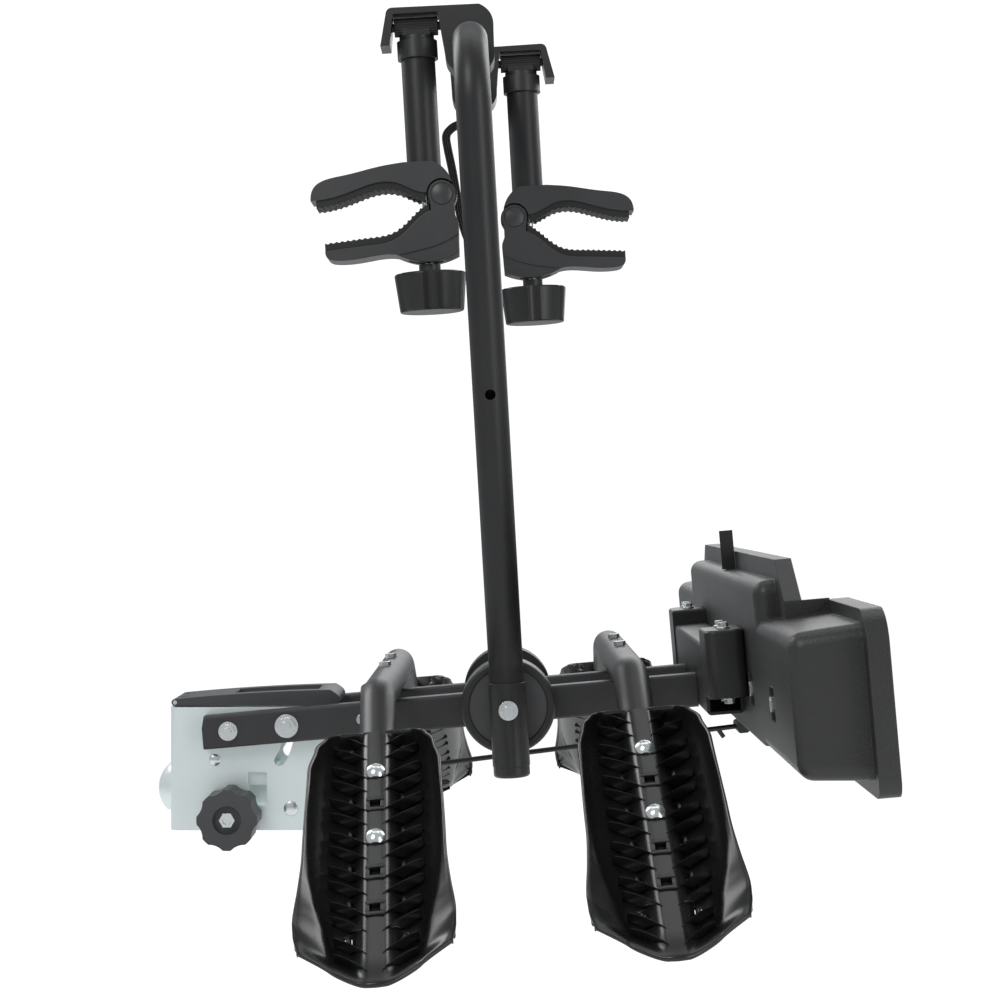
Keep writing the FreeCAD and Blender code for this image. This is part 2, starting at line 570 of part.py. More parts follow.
def make_platform():
    save("beam_near", beam(), platform)
    save("beam_far", flip_y(beam()), platform)
    bolts = [through_bolt(TRAVEL, 0, TRAVEL_BOLT_R, BEAM_Y1, 16, 11.2, 9),
             rod_y(HOOK_U, 0, HOOK_R, -BEAM_Y1, BEAM_Y1)]
    save("frame_cross_bolts", bolts, platform)
    for name, u in zip(("front", "rear"), ARM_U):
        save("arm_" + name, arm(u), platform)
    save("arm_bolts", [arm_bolt(u, y) for u in ARM_U for y in (-ARM_BOLT_Y, ARM_BOLT_Y)], platform)
    pan, heads = tray(), []
    for name, u in zip(("front", "rear"), ARM_U):
        for end, side in (("near", -1), ("far", 1)):
            place = tray_frame(u, side)
            placed = pan.copy()
            placed.Placement = place
            save("tray_%s_%s" % (name, end), placed, platform)
            for i in (0, 2):
                bolt = tray_bolt(TRAY_FIRST + i * TRAY_PITCH)
                bolt.Placement = place
                heads.append(bolt)
    save("tray_bolts", heads, platform)
    save("hub_drums", both(hub_drum()), platform)
    save("hub_discs", both(hub_disc()), platform)
    nut_y = LEG_Y + TUBE_R + SADDLE_WALL + GAP
    save("fold_axle", through_bolt(HUB_U, HUB_W, AXLE_R, nut_y, 13, 9, 8), platform)
    save("rear_crossbar", rear_crossbar(), platform)
    save("crossbar_ends", both(end_block()), platform)
    save("crossbar_bolts", crossbar_bolts(), platform)
    save("lamp_board", lamp_board(), platform)
    save("lamp_units", both(lamp_unit()), platform)
    save("board_bolts", board_bolts(), platform)
    tab = box(LIP_U0 - 13.5, LIP_U0 - 0.5, -1.5, 1.5, PLATE_W1, PLATE_W1 + 38)
    save("plate_tab", tab, platform)


# ---- tilt release --------------------------------------------------------------------------
def tilt_hook():
    """Hook that hangs from the cross pin, beside the rod that pulls it."""
    low = HOOK_LOW
    plate = prism([(HOOK_U - 9, 2), (HOOK_U + 9, 2), (HOOK_U + 7, low - 6), (HOOK_U - 10, low - 6),
                   (HOOK_U - 29, low + 16), (HOOK_U - 29, low + 22), (HOOK_U - 9, low + 14)], -9.5, -3.5)
    plate = plate.fuse(rod_y(HOOK_U, 0, 10, -9.5, -3.5)).cut(rod_y(HOOK_U, 0, HOOK_R + RUN, -10, 0))
    return plate.fuse(rod_y(HOOK_U, low, 2, -6, 3)).removeSplitter()


def release_rod():
    r = 2.5
    eye = rod_y(HOOK_U, HOOK_LOW, 6.5, -r, r).cut(rod_y(HOOK_U, HOOK_LOW, 3.2, -5, 5))
    points = [V(HOOK_U + 5, 0, HOOK_LOW), V(462, 0, -46), V(489.5, 0, -45)]
    spur = cyl(472, 0, -46, 2.2, 10, (0.5, 0, -0.87))
    return sweep(points, 12, r).fuse(eye).fuse(spur)


def release_pedal():
    pad = box(489.5, 501, -20, 20, -50, -40)
    return soften(pad, 3, lambda e: along(e, (0, 1, 0)))


def make_release():
    save("tilt_hook", tilt_hook(), platform)
    save("release_rod", release_rod(), platform)
    save("release_pedal", release_pedal(), platform)


# ---- hoop ----------------------------------------------------------------------------------
def leg_y(height):
    return LEG_Y + max(0.0, height - SPLAY_FROM) * math.tan(math.radians(SPLAY))


def hoop_tube():
    cap = 10.5
    top = leg_y(HOOP_H)
    right = [V(0, LEG_Y, -LEG_BELOW + cap), V(0, LEG_Y, SPLAY_FROM), V(0, top, HOOP_H)]
    points = [V(p.x, -p.y, p.z) for p in right] + right[::-1]
    tube = bent_tube(points, HOOP_BEND_R, TUBE_R, TUBE_WALL)
    tube = tube.cut(rod_y(0, 0, AXLE_R + RUN, -200, 200))
    hole = 289
    for piece in both(rod_y(0, hole, 4.75, leg_y(hole), leg_y(hole) + 40)):
        tube = tube.cut(piece)
    return tube


def leg_cap():
    cap = cyl(0, -LEG_Y, -LEG_BELOW, TUBE_R + 0.9, 10.5, (0, 0, 1))
    return soften(cap, 3, lambda e: e.BoundBox.ZMax < -LEG_BELOW + 1)


def leg_saddle():
    r = TUBE_R + SADDLE_WALL
    sleeve = cyl(0, -LEG_Y, -LEG_BELOW + 10.5, r, LEG_BELOW + 14, (0, 0, 1))
    sleeve = sleeve.cut(cyl(0, -LEG_Y, -100, TUBE_R, 200, (0, 0, 1)))
    return sleeve.cut(rod_y(0, 0, AXLE_R + RUN, -200, 0))


def smooth_ring(points):
    """Face inside a closed smooth curve that runs level at its first and its lowest point."""
    low = points.index(min(points, key=lambda p: p.z))
    edges = []
    for run, way in ((points[:low + 1], -1), (points[low:] + points[:1], 1)):
        curve = Part.BSplineCurve()
        curve.interpolate(Points=run, InitialTangent=V(way, 0, 0), FinalTangent=V(-way, 0, 0))
        edges.append(curve.toShape())
    return Part.Face(Part.Wire(edges))


def inset(points, depth):
    """The closed list of points, each moved inwards."""
    centre = sum(points, V(0, 0, 0)) / len(points)
    moved = []
    for before, here, after in zip(points[-1:] + points, points, points[1:] + points[:1]):
        along_it = (after - before).normalize()
        n = V(along_it.z, 0, -along_it.x)
        moved.append(here + n * (depth if n.dot(centre - here) > 0 else -depth))
    return moved


def keeper_loop():
    """Ribbed rubber loop that hangs from a ring on the top bar."""
    outer = [(-2, -1.5), (-19, -3), (-29, -8), (-35.5, -17), (-35, -31), (-31.5, -54), (-28.5, -79),
             (-25, -106), (-18, -131), (-6, -142), (6, -132), (12, -109), (15.5, -79), (17, -44),
             (15.5, -16), (8, -4)]
    y0, y1 = STRAP_Y - STRAP_W / 2, STRAP_Y + STRAP_W / 2
    points = [V(x, y0, HOOP_H - TUBE_R + z) for x, z in outer]
    face = smooth_ring(points).cut(smooth_ring(inset(points, STRAP_T)))
    ring = rod_y(0, HOOP_H, TUBE_R + 2.6, y0, y1).cut(rod_y(0, HOOP_H, TUBE_R + 0.2, y0, y1))
    return face.extrude(V(0, STRAP_W, 0)).fuse(ring)


def make_hoop():
    save("hoop_tube", hoop_tube(), hoop)
    save("leg_caps", both(leg_cap()), hoop)
    save("leg_saddles", both(leg_saddle()), hoop)
    save("keeper_loop", keeper_loop(), hoop)


# ---- frame clamps: made for the near one, in a frame on the hoop's top bar -------------------
SLOT = (-69.0, -37.0, 5.5)               # clear way for the screw: X from and to, half width
TOP_FACE = [(-152, -131), (-136, -129.3), (-114, -123), (-92, -117.3), (-75.5, -119), (-60, -126.5),
            (-47, -129.5)]
LOW_FACE = [(-146, -179), (-127, -177.3), (-105, -175.6), (-82, -172), (-69, -163), (-58, -153),
            (-47, -146.5)]


def bracket():
    """Housing that turns on the top bar, with a fork for the swing barrel."""
    r = TUBE_R + 5.5
    side = [[(-84, 9.5), (-75, 9.5)], [(-75, 9.5), (-71, 38.5)], [(-71, 38.5), (-28.7, 38.5)],
            [(-28.7, 38.5), (-24, 0)], [(-24, 0), (-20, -13), (0, -r), (16, -16), (22, 0)],
            [(22, 0), (22.5, 21)], [(22.5, 21), (20, 35), (10, 43.8)], [(10, 43.8), (-70, 44.6)],
            [(-70, 44.6), (-75.5, 43), (-77.5, 38.5)], [(-77.5, 38.5), (-84, 9.5)]]
    body = outline(side, -18, 18)
    body = body.cut(rod_y(0, 0, TUBE_R + RUN, -20, 20))
    body = body.cut(cyl(-90, 0, BARREL_Z, 4 + RUN, 75, (1, 0, 0)))
    return body


def swivel():
    """Ribbed barrel with its trunnions, collar and the sleeve that holds the post."""
    x0, x1 = POST_X - 20.5, POST_X + 20.5
    body = cyl(x0, 0, BARREL_Z, BARREL_R - 0.8, x1 - x0, (1, 0, 0))
    for i in range(20):
        a = 2 * math.pi * i / 20
        y, z = (BARREL_R - 1) * math.cos(a), BARREL_Z + (BARREL_R - 1) * math.sin(a)
        body = body.fuse(cyl(x0, y, z, 1, x1 - x0, (1, 0, 0)))
    body = body.fuse(box(POST_X - 13, POST_X + 13, -8, 8, 15, BARREL_Z))
    body = body.fuse(cyl(POST_X, 0, 15, TUBE_R + 0.4, 4.5, (0, 0, 1)))
    body = body.fuse(cyl(POST_X, 0, -2, TUBE_R + 3, 17, (0, 0, 1)))
    body = body.fuse(cyl(x0 - 8, 0, BARREL_Z, 4, x1 - x0 + 15, (1, 0, 0)))
    return body.cut(cyl(POST_X, 0, -3, TUBE_R, 17, (0, 0, 1))).removeSplitter()


def post():
    length = 14 - POST_END
    tube = cyl(POST_X, 0, POST_END, TUBE_R, length, (0, 0, 1))
    return tube.cut(cyl(POST_X, 0, POST_END, TUBE_R - TUBE_WALL, length, (0, 0, 1)))


def grip_face(face, y0, y1, offset, side):
    """Rubber pad on a jaw's face, with scallops across it."""
    inner = [(x, z + side * offset) for x, z in face]
    pad = outline([face, [face[-1], inner[-1]], inner[::-1], [inner[0], face[0]]], y0, y1)
    curve = Part.BSplineCurve()
    curve.interpolate([V(x, y0, z + side * 1.6) for x, z in inner])
    count, first, last = 20, curve.FirstParameter, curve.LastParameter
    for i in range(count):
        at = curve.value(first + (last - first) * (i + 0.5) / count)
        pad = pad.cut(rod_y(at.x, at.z, 2.6, y0 - 1, y1 + 1))
    return pad.cut(rod_y(*PIVOT, 15.9, y0 - 1, y1 + 1))


def screw_way():
    x0, x1, half = SLOT
    return box(x0, x1, -half, half, -200, -100)


def top_jaw():
    half = JAW_W / 2
    px, pz = PIVOT
    face = [(x, z) for x, z in TOP_FACE]
    side = [[(-157, -131.5), (-153, -118.5), (-124, -109), (-91.5, -102.7), (-69, -100)],
            [(-69, -100), (-42, -100)], [(-42, -100), (-31, -108), (-24, -122)],
            [(-24, -122), face[-1]], face[::-1], [face[0], (-157, -131.5)]]
    jaw = outline(side, -half, half)
    jaw = jaw.fuse(rod_y(px, pz, 14, -9.7, 9.7))
    for cheek in both(rod_y(px, pz, 14.3, 9.7, half + 1)):
        jaw = jaw.cut(cheek)
    jaw = jaw.cut(cyl(POST_X, 0, POST_END, TUBE_R, 40, (0, 0, 1)))
    jaw = jaw.cut(rod_y(px, pz, 4, -half, half))
    return jaw.cut(cyl(POST_X, 0, -160, ROD_R, 60, (0, 0, 1))).removeSplitter()


def bottom_jaw():
    half = JAW_W / 2
    px, pz = PIVOT
    side = [LOW_FACE, [LOW_FACE[-1], (-25, -147)], [(-25, -147), (-20.5, -158)],
            [(-20.5, -158), (-21.5, -187)], [(-21.5, -187), (-53, -193.6), (-79, -186)],
            [(-79, -186), (-110, -187.2), (-134, -188.3), (-144, -185.5), LOW_FACE[0]]]
    jaw = outline(side, -half, half)
    step = outline([[(-15, -163), (-23, -170), (-36, -176.6), (-58, -182.5), (-84, -186.8)],
                    [(-84, -186.8), (-84, -200)], [(-84, -200), (-15, -200)],
                    [(-15, -200), (-15, -163)]], half - 1.8, half + 1)
    for piece in both(step):
        jaw = jaw.cut(piece)
    ear = rod_y(px, pz, 12.5, 10.4, half).fuse(box(px - 11, px + 11, 10.4, half, -150, pz))
    for piece in both(ear):
        jaw = jaw.fuse(piece)
    jaw = jaw.cut(rod_y(px, pz, 15.6, -10.4, 10.4))
    jaw = jaw.cut(rod_y(px, pz, 4 + RUN, -half - 1, half + 1))
    return jaw.cut(screw_way()).removeSplitter()


def pivot_pin():
    half = JAW_W / 2
    pin = rod_y(*PIVOT, 4, -half - 0.3, half + 0.3)
    for y, d in ((-half - 0.3, -1), (half + 0.3, 1)):
        pin = pin.fuse(dome(PIVOT[0], y, PIVOT[1], (0, d, 0), 10.5, 2.2))
    return pin


def clamp_knob():
    depth = KNOB_TOP - KNOB_BOTTOM
    knob = Part.makeCone(GRIP_R1, GRIP_R0, depth, V(POST_X, 0, KNOB_BOTTOM))
    knob = soften(knob, 2, lambda e: e.BoundBox.ZLength < 1e-3)
    for i in range(6):
        a = math.radians(60 * i + 30)
        low, slope = GRIP_R1 + 6, (GRIP_R0 - GRIP_R1) / depth
        x, y = POST_X + low * math.cos(a), low * math.sin(a)
        way = (slope * math.cos(a), slope * math.sin(a), 1)
        knob = knob.cut(cyl(x, y, KNOB_BOTTOM, 9, depth * 1.1, way))
    return knob.cut(cyl(POST_X, 0, KNOB_BOTTOM + 2, ROD_R + RUN, depth, (0, 0, 1)))


def thrust_collar():
    collar = cyl(POST_X, 0, KNOB_TOP + 0.3, 10.2, 8.0, (0, 0, 1))
    return collar.cut(cyl(POST_X, 0, KNOB_TOP, ROD_R + RUN, 20, (0, 0, 1)))


def make_clamp(side):
    def place(shape):
        moved = shape.copy()
        if side == "far":
            moved = moved.mirror(V(0, 0, 0), V(1, 0, 0))
        moved.translate(V(0, CLAMP_Y[side], HOOP_H))
        return hoop(moved)
    half = PAD_W / 2
    save("bracket_" + side, bracket(), place)
    save("swivel_" + side, swivel(), place)
    save("post_" + side, post(), place)
    save("top_jaw_" + side, top_jaw(), place)
    way = screw_way()
    save("top_pad_" + side, grip_face(TOP_FACE, -half, half, PAD_T, -1).cut(way), place)
    save("pivot_pin_" + side, pivot_pin(), place)
    save("clamp_screw_" + side, cyl(POST_X, 0, -234, ROD_R, 234 + POST_END, (0, 0, 1)), place)
    save("bottom_jaw_" + side, bottom_jaw(), place)
    save("bottom_pad_" + side, grip_face(LOW_FACE, -half, half, PAD_T, 1).cut(way), place)
    save("thrust_collar_" + side, thrust_collar(), place)
    save("clamp_knob_" + side, clamp_knob(), place)


make_coupler()
make_platform()
make_release()
make_hoop()
for clamp_side in CLAMP_Y:
    make_clamp(clamp_side)
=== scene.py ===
import json
import math

import bmesh
import bpy
from bpy.props import FloatProperty, FloatVectorProperty, PointerProperty
from mathutils import Matrix, Vector


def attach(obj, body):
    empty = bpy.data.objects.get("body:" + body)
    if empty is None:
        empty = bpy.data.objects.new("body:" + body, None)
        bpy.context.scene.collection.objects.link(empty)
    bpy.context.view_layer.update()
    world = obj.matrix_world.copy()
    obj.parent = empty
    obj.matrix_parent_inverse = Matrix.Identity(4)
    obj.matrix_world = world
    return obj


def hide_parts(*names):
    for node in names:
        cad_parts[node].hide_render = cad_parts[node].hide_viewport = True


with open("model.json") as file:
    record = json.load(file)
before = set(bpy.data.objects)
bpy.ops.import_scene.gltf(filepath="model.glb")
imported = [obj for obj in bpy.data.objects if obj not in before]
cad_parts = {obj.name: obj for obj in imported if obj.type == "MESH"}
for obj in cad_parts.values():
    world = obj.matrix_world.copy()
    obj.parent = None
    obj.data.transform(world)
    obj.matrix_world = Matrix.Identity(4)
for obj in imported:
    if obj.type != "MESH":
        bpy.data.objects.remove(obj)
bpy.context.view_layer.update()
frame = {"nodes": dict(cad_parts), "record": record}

bl_info = {
    "name": "Tow ball bike carrier",
    "version": (1, 0, 0),
    "blender": (4, 5, 0),
    "location": "View3D > Sidebar > Carrier",
    "description": "Trays, lamps, loop, finishes and studio for the tow ball bike carrier",
    "category": "Object",
}

MM = 0.001
PITCH = math.radians(5.0)            # the platform rises to the rear
TILT_PIVOT = Vector((0.0448, 0.0, 0.0618))
ARM_U = {"front": 154.3, "rear": 380.2}
ARM_DROP = math.radians(32.5)
ARM_CORNER_Y, ARM_AXIS_W = 200.0, 32.0
HOLE_FIRST, HOLE_PITCH = 87.2, 40.8  # stations down a tray, and the first one's place
SQUARE_HOLES = (2, 4, 5)
BOLT_HOLES = (1, 3)
STATIONS = 7
TRAY_T0, TRAY_T1 = 74.0, 369.0       # a tray's upper and lower end, down the leg from its corner
TIP_START, TIP_REACH = 275.0, 75.0   # where the tip starts to bow, and how far its lip is rolled
TIP_BOW, TIP_CORNER = 36.0, 9.0      # how far the sides of the tip lie back, and its corners
RIDGE_R = 19.6                       # ridge over the leg's tube
RIB_THICK = 1.5
LEAN = math.radians(3.27)
BAR_Z, BAR_R = 613.3, 16.0           # the hoop's top bar over the fold axis, and its radius
LOOP_RIBS, LOOP_WIDTH, LOOP_RING = 4, 6.0, 2.3
LENS_U0, LENS_U1, LENS_W0, LENS_W1 = 506.0, 552.5, -25.0, 71.6
SHARP = math.radians(32)             # edges sharper than this stay crisp on the CAD pieces


# ---- places --------------------------------------------------------------------------------
def platform_matrix():
    """From the platform's own frame, in millimetres along the beams, to the part's in metres."""
    return Matrix.Translation(TILT_PIVOT) @ Matrix.Rotation(-PITCH, 4, "Y") @ Matrix.Scale(MM, 4)


def hoop_matrix():
    """From the hoop's frame, with its origin on the fold axis, to the part's in metres."""
    hub = platform_matrix() @ Vector((268.6, 0.0, 3.5))
    return Matrix.Translation(hub) @ Matrix.Rotation(-LEAN, 4, "Y") @ Matrix.Scale(MM, 4)


def tray_matrix(u, side):
    """From a tray's frame (X down the arm's leg, Y across, Z off the arm) to the part's."""
    a = ARM_DROP
    down = Vector((0, side * math.cos(a), -math.sin(a)))
    off = Vector((0, side * math.sin(a), math.cos(a)))
    across = off.cross(down)
    m = Matrix((down, across, off)).transposed().to_4x4()
    m.translation = Vector((u, side * ARM_CORNER_Y, ARM_AXIS_W))
    return platform_matrix() @ m


# ---- finishes ------------------------------------------------------------------------------
def finish(name, colour, rough, metal=0.0, grain=0.0, grain_size=900.0, spread=0.12, coat=0.0,
           round_edges=0.0, cells=False):
    """A moulded, painted or plated surface: fine grain, slight colour and gloss variation."""
    mat = bpy.data.materials.new(name)
    mat.use_nodes = True
    mat.diffuse_color = (*colour, 1)
    tree = mat.node_tree
    nodes, links = tree.nodes, tree.links
    shader = nodes["Principled BSDF"]
    shader.inputs["Metallic"].default_value = metal
    shader.inputs["Coat Weight"].default_value = coat
    shader.inputs["Coat Roughness"].default_value = 0.12
    shader.inputs["Specular IOR Level"].default_value = 0.5
    coords = nodes.new("ShaderNodeTexCoord")
    large = nodes.new("ShaderNodeTexNoise")
    large.inputs["Scale"].default_value = 14.0
    large.inputs["Detail"].default_value = 5.0
    links.new(coords.outputs["Object"], large.inputs["Vector"])
    tint = nodes.new("ShaderNodeValToRGB")
    tint.color_ramp.elements[0].position = 0.3
    tint.color_ramp.elements[1].position = 0.7
    tint.color_ramp.elements[0].color = (*[c * (1 - spread) for c in colour], 1)
    tint.color_ramp.elements[1].color = (*[c * (1 + spread) for c in colour], 1)
    links.new(large.outputs["Fac"], tint.inputs["Fac"])
    links.new(tint.outputs["Color"], shader.inputs["Base Color"])
    gloss = nodes.new("ShaderNodeMapRange")
    gloss.inputs["To Min"].default_value = rough * 0.88
    gloss.inputs["To Max"].default_value = rough * 1.12
    links.new(large.outputs["Fac"], gloss.inputs["Value"])
    links.new(gloss.outputs["Result"], shader.inputs["Roughness"])
    if cells:
        fine = nodes.new("ShaderNodeTexVoronoi")
        fine.feature = "SMOOTH_F1"
        height = fine.outputs["Distance"]
    else:
        fine = nodes.new("ShaderNodeTexNoise")
        fine.inputs["Detail"].default_value = 3.0
        height = fine.outputs["Fac"]
    fine.inputs["Scale"].default_value = grain_size
    links.new(coords.outputs["Object"], fine.inputs["Vector"])
    bump = nodes.new("ShaderNodeBump")
    bump.inputs["Strength"].default_value = grain
    bump.inputs["Distance"].default_value = 0.0004
    links.new(height, bump.inputs["Height"])
    if round_edges:
        soft = nodes.new("ShaderNodeBevel")
        soft.samples = 6
        soft.inputs["Radius"].default_value = round_edges
        links.new(soft.outputs["Normal"], bump.inputs["Normal"])
    links.new(bump.outputs["Normal"], shader.inputs["Normal"])
    return mat


def lens_finish(name, colour):
    mat = finish(name, colour, 0.12, grain=0.02, spread=0.05, coat=0.6)
    shader = mat.node_tree.nodes["Principled BSDF"]
    shader.inputs["Transmission Weight"].default_value = 0.35
    return mat


FINISHES = {}                        # the finish for each material slot, made by the first steps


# ---- mesh helpers --------------------------------------------------------------------------
def add_piece(name, bm, matrix, body, slot_name, replaces=()):
    """Turn a bmesh in a local millimetre frame into a piece that rides on a body."""
    bmesh.ops.transform(bm, matrix=matrix, verts=bm.verts)
    bmesh.ops.recalc_face_normals(bm, faces=bm.faces)
    for face in bm.faces:
        face.smooth = True
    mesh = bpy.data.meshes.new(name)
    bm.to_mesh(mesh)
    bm.free()
    piece = bpy.data.objects.new(name, mesh)
    bpy.context.scene.collection.objects.link(piece)
    piece.data.materials.append(FINISHES[slot_name])
    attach(piece, body)
    if replaces:
        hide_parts(*replaces)
    return piece


def bevelled_box(bm, low, high, radius, segments=3):
    """A box between two corners with all its edges rounded."""
    made = bmesh.ops.create_cube(bm, size=1.0)
    verts = made["verts"]
    size = Vector(high) - Vector(low)
    middle = (Vector(high) + Vector(low)) / 2
    bmesh.ops.scale(bm, vec=size, verts=verts)
    bmesh.ops.translate(bm, vec=middle, verts=verts)
    edges = list({e for v in verts for e in v.link_edges})
    bmesh.ops.bevel(bm, geom=edges, offset=radius, offset_type="OFFSET", segments=segments,
                    profile=0.5, affect="EDGES", material=-1)


# ---- wheel trays ---------------------------------------------------------------------------
def ease(t, stops):
    """Smooth value at t through (place, value) stops."""
    for (a, va), (b, vb) in zip(stops, stops[1:]):
        if t <= b:
            f = max(0.0, (t - a) / (b - a))
            return va + (vb - va) * f * f * (3 - 2 * f)
    return stops[-1][1]


def tray_rows():
    """Stations down the tray, with lines where the holes and openings are cut."""
    rows = [TRAY_T0 + d for d in (0, 1.2, 2.6, 4.5, 8, 13)]
    for i in range(STATIONS):
        hole = HOLE_FIRST + i * HOLE_PITCH
        rows += [hole + d for d in (-4.3, 0, 4.3, 10.5, 15, 20.4, 25.8, 30.3)
                 if TRAY_T0 + 17 < hole + d < TRAY_T1 - 26]
    return rows + [TRAY_T1 - d for d in (24, 18, 12, 7, 3, 0)]


def half_profile(t, wall):
    """Points from the ridge out to the lip of the tray at a station, as (across, off)."""
    rim = ease(t, [(74, 32), (77, 37), (82, 42), (99, 49.5), (131, 54.5), (230, 56), (325, 61.5),
                   (350, 61), (369, 58)])
    rise = ease(t, [(74, 20.5), (82, 24), (99, 28), (131, wall), (250, wall), (325, 28), (369, 22)])
    crease = ease(t, [(74, 30), (77, 35), (82, 40), (99, 47.5), (131, 52.6), (184, 53.6),
                      (218, 53.2), (250, 51.5), (280, 47), (297, 43), (312, 39.5), (345, 35),
                      (369, 36)])
    fold = ease(t, [(74, 20), (82, 22), (99, 26), (131, wall - 1.8), (218, wall - 3.5), (250, 25),
                    (280, 20), (297, 15.5), (312, 12), (345, 9), (369, 18)])
    floor = ease(t, [(74, 20), (78.5, 2.6), (330, 2.6), (369, 16.5)])
    ridge = ease(t, [(74, RIDGE_R + 0.8), (345, RIDGE_R), (369, 17.5)])
    foot = min(33.0, crease - 6)
    points = [(s, max(ridge - d, floor)) for s, d in ((0, 0), (6.6, 0.2), (9.0, 1.5), (12.8, 5.0),
                                                      (16.4, 11.0))]
    points += [(s, floor) for s in (RIDGE_R + 0.4, 0.35 * foot + 13.5, 0.6 * foot + 8, foot - 0.6)]
    for f in (0.12, 0.4, 0.7, 1.0):
        bend = math.sin(f * math.pi / 2)
        points.append((foot + (crease - foot) * bend, floor + (fold - floor)
                       * (0.55 * (1 - math.cos(f * math.pi / 2)) + 0.45 * f)))
    for f in (0.35, 0.75, 1.0):
        points.append((crease + (rim - crease) * f, fold + (rise - fold) * f))
    points += [(rim + 1.4, rise - 0.8), (rim + 2.0, rise - 3.6)]
    return points


def tray_tip(t, across, off):
    """Gives the lower tip its plan: a bow in the middle and a rounded corner each side."""
    lower = max(0.0, (t - TIP_START) / (TRAY_T1 - TIP_START))
    reach = abs(across) / 62.0
    bow = min(1.0, reach / 1.1)
    corner = max(0.0, (reach - 0.88) / 0.16)
    drop = TIP_BOW * bow * bow * (3 - 2 * bow) + TIP_CORNER * corner ** 2
    return Vector((t - drop * lower ** 1.25, across, off))


def shape_tray_grid(bm, wall):
    """Lays a grid over the tray's stations and its profile from lip to lip."""
    rows = tray_rows()
    width = len(half_profile(200, wall))
    columns = 2 * width - 1
    bmesh.ops.create_grid(bm, x_segments=len(rows) - 1, y_segments=columns - 1, size=1.0)
    for vert in bm.verts:
        row = round((vert.co.x + 1) / 2 * (len(rows) - 1))
        column = round((vert.co.y + 1) / 2 * (columns - 1)) - (width - 1)
        t = rows[row]
        across, off = half_profile(t, wall)[abs(column)]
        vert.co = tray_tip(t, math.copysign(across, column) if column else 0.0, off)


def inside(face, t0, t1, s0, s1):
    c = face.calc_center_median()
    return t0 < c.x < t1 and s0 < abs(c.y) < s1


def cut_tray_openings(bm):
    """The small floor openings near the tip, and the square adjusting holes."""
    doomed = set()
    for i in range(STATIONS):
        hole = HOLE_FIRST + i * HOLE_PITCH
        if i == STATIONS - 2:
            doomed |= {f for f in bm.faces if inside(f, hole + 15, hole + 20.4, 20, 33)}
        if i in SQUARE_HOLES:
            doomed |= {f for f in bm.faces if inside(f, hole - 4.3, hole + 4.3, -1, 4.4)}
    bmesh.ops.delete(bm, geom=list(doomed), context="FACES")


def roll_tip(bm):
    """Folds the tray's lower edge down into a rounded lip."""
    above = TRAY_T1 - TIP_REACH
    edges = [e for e in bm.edges if e.is_boundary and all(v.co.x > above for v in e.verts)
             and any(f.calc_center_median().x > above for f in e.link_faces) and edge_is_tip(e)]
    for drop, out in ((1.2, 1.2), (3.0, 0.4)):
        made = bmesh.ops.extrude_edge_only(bm, edges=edges)
        verts = [g for g in made["geom"] if isinstance(g, bmesh.types.BMVert)]
        bmesh.ops.translate(bm, vec=(out, 0, -drop), verts=verts)
        edges = [g for g in made["geom"] if isinstance(g, bmesh.types.BMEdge)]


def edge_is_tip(edge):
    """True for an edge that runs across the tray at its lower end."""
    a, b = edge.verts
    return abs(a.co.y - b.co.y) > abs(a.co.x - b.co.x) * 0.25 or abs(a.co.y) < 2


def add_rib(bm, t, side):
    """One thin curved blade that climbs from the foot of the tray's wall onto the ridge."""
    made = bmesh.ops.create_grid(bm, x_segments=2, y_segments=11, size=1.0)
    root = min(39.0, ease(t, [(79, 33), (100, 36.5), (130, 39), (250, 39), (332, 33)]))
    for vert in made["verts"]:
        f, up = (vert.co.y + 1) / 2, (vert.co.x + 1) / 2
        s = 6.0 + (root - 6.0) * f
        crown = math.sqrt(max(0.0, RIDGE_R ** 2 - s * s)) if s < RIDGE_R else 0.0
        top = max(crown + 0.9, 20.4 - 6.0 * f ** 1.5)
        low = max(1.0, min(top - 3.0, crown - 2.0)) if s < RIDGE_R else 1.0
        sweep = 16.0 * (1 - f) ** 1.35 - 10.0 * f
        vert.co = Vector((t + sweep + 1.0 * up, side * s, low + (top - low) * up))
    faces = {f for v in made["verts"] for f in v.link_faces}
    bmesh.ops.solidify(bm, geom=list(faces), thickness=RIB_THICK)


def add_tray_ribs(bm):
    for i in range(STATIONS):
        hole = HOLE_FIRST + i * HOLE_PITCH
        for d in (-9.0, 8.0):
            if TRAY_T0 + 2 < hole + d < TRAY_T1 - 24:
                for side in (-1, 1):
                    add_rib(bm, hole + d, side)


def add_hole_bosses(bm):
    """Raised frames round the square holes, seats under the bolt heads, and side pips."""
    top = RIDGE_R + 1.6
    for i in range(1, STATIONS - 1):
        t = HOLE_FIRST + i * HOLE_PITCH
        inner = 5.6 if i in BOLT_HOLES else 4.3
        for side in (-1, 1):
            low, high = sorted((side * inner, side * 7.6))
            bevelled_box(bm, (t - 8, low, RIDGE_R - 3.5), (t + 8, high, top - 0.6), 0.5, 2)
            low, high = sorted((side * inner, side * 8.0))
            bevelled_box(bm, (t + low, -7.6, RIDGE_R - 2.5), (t + high, 7.6, top), 0.5, 2)
            low, high = sorted((side * 15.5, side * 21.5))
            bevelled_box(bm, (t - 9, low, 1.5), (t - 6.5, high, 13.5), 0.6, 2)
            low, high = sorted((side * 19.5, side * 23.0))
            bevelled_box(bm, (t + 17, low, 1.5), (t + 25, high, 8.5), 0.8, 2)


def tray_shell(sizes):
    bm = bmesh.new()
    shape_tray_grid(bm, sizes.wall_height / MM)
    cut_tray_openings(bm)
    roll_tip(bm)
    bmesh.ops.recalc_face_normals(bm, faces=bm.faces)
    return bm


